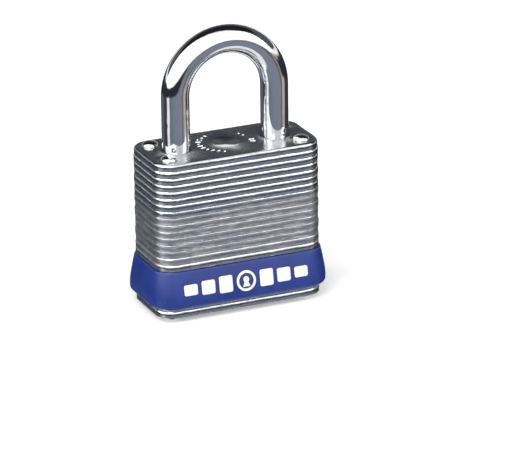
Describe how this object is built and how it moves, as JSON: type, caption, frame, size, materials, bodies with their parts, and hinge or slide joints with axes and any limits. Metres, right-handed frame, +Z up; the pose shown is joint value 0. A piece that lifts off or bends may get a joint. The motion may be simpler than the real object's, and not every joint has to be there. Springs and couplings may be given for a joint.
{
  "type": "laminated padlock",
  "caption": "Riveted laminated-steel padlock with a round steel shackle, a swelling plastic bumper round the foot and a pin-tumbler keyway underneath.",
  "frame": {"origin": "middle of the body on the surface the rivet tails stand on", "axes": "+Z up along the shackle legs, -Y out of the front of the bumper, +X towards the toe of the shackle"},
  "size_m": [0.0478, 0.0242, 0.0722],
  "materials": {
    "plate_steel": "bare stamped steel, dull with bright rolled edges",
    "rivet_steel": "bright formed steel",
    "shackle_chrome": "polished and plated",
    "bumper_plastic": "moulded, soft sheen",
    "badge_plastic": "printed on raised shapes",
    "brass": "machined",
    "lever_steel": "hardened, oiled",
    "spring_steel": "bright wire and clip"
  },
  "bodies": {
    "case": {"plate_01_bottom": "plate_steel", "plate_02": "plate_steel", "plate_03": "plate_steel", "plate_04": "plate_steel", "plate_05": "plate_steel", "plate_06": "plate_steel", "plate_07": "plate_steel", "plate_08": "plate_steel", "plate_09": "plate_steel", "plate_10": "plate_steel", "plate_11": "plate_steel", "plate_12": "plate_steel", "plate_13": "plate_steel", "plate_14": "plate_steel", "plate_15": "plate_steel", "plate_16": "plate_steel", "plate_17": "plate_steel", "plate_18": "plate_steel", "plate_19": "plate_steel", "plate_20": "plate_steel", "plate_21": "plate_steel", "plate_22": "plate_steel", "plate_23_top": "plate_steel", "body_rivets": "rivet_steel", "bumper": "bumper_plastic", "bumper_badge": "badge_plastic", "cylinder_housing": "brass", "chamber_cover": "brass", "driver_pins": "brass", "pin_springs": "spring_steel", "heel_retainer": "lever_steel", "lever_spring": "spring_steel", "shackle_spring": "spring_steel"},
    "plug": {"plug": "brass", "key_pins": "brass", "plug_clip": "spring_steel", "lever_cam": "lever_steel", "cam_screw": "spring_steel"},
    "left_lever": {"left_lever": "lever_steel"},
    "right_lever": {"right_lever": "lever_steel"},
    "shackle": {"shackle": "shackle_chrome"}
  },
  "joints": [
    {"name": "plug_turn", "type": "hinge", "parent": "case", "child": "plug", "pos_m": [0, 0, 0.012], "axis": [0, 0, 1], "range_deg": [-50, 0]},
    {"name": "left_lever_slide", "type": "slide", "parent": "case", "child": "left_lever", "axis": [1, 0, 0], "range_m": [-0.00211, 0]},
    {"name": "right_lever_slide", "type": "slide", "parent": "case", "child": "right_lever", "axis": [1, 0, 0], "range_m": [0, 0.00211]},
    {"name": "shackle_lift", "type": "slide", "parent": "case", "child": "shackle", "axis": [0, 0, 1], "range_m": [0, 0.01235], "deforming": ["shackle_spring"]}
  ],
  "couplings": [
    {"joint": "plug_turn", "follows": "left_lever_slide", "rad_per_m": 412.98},
    {"joint": "right_lever_slide", "follows": "left_lever_slide", "ratio": -1}
  ]
}
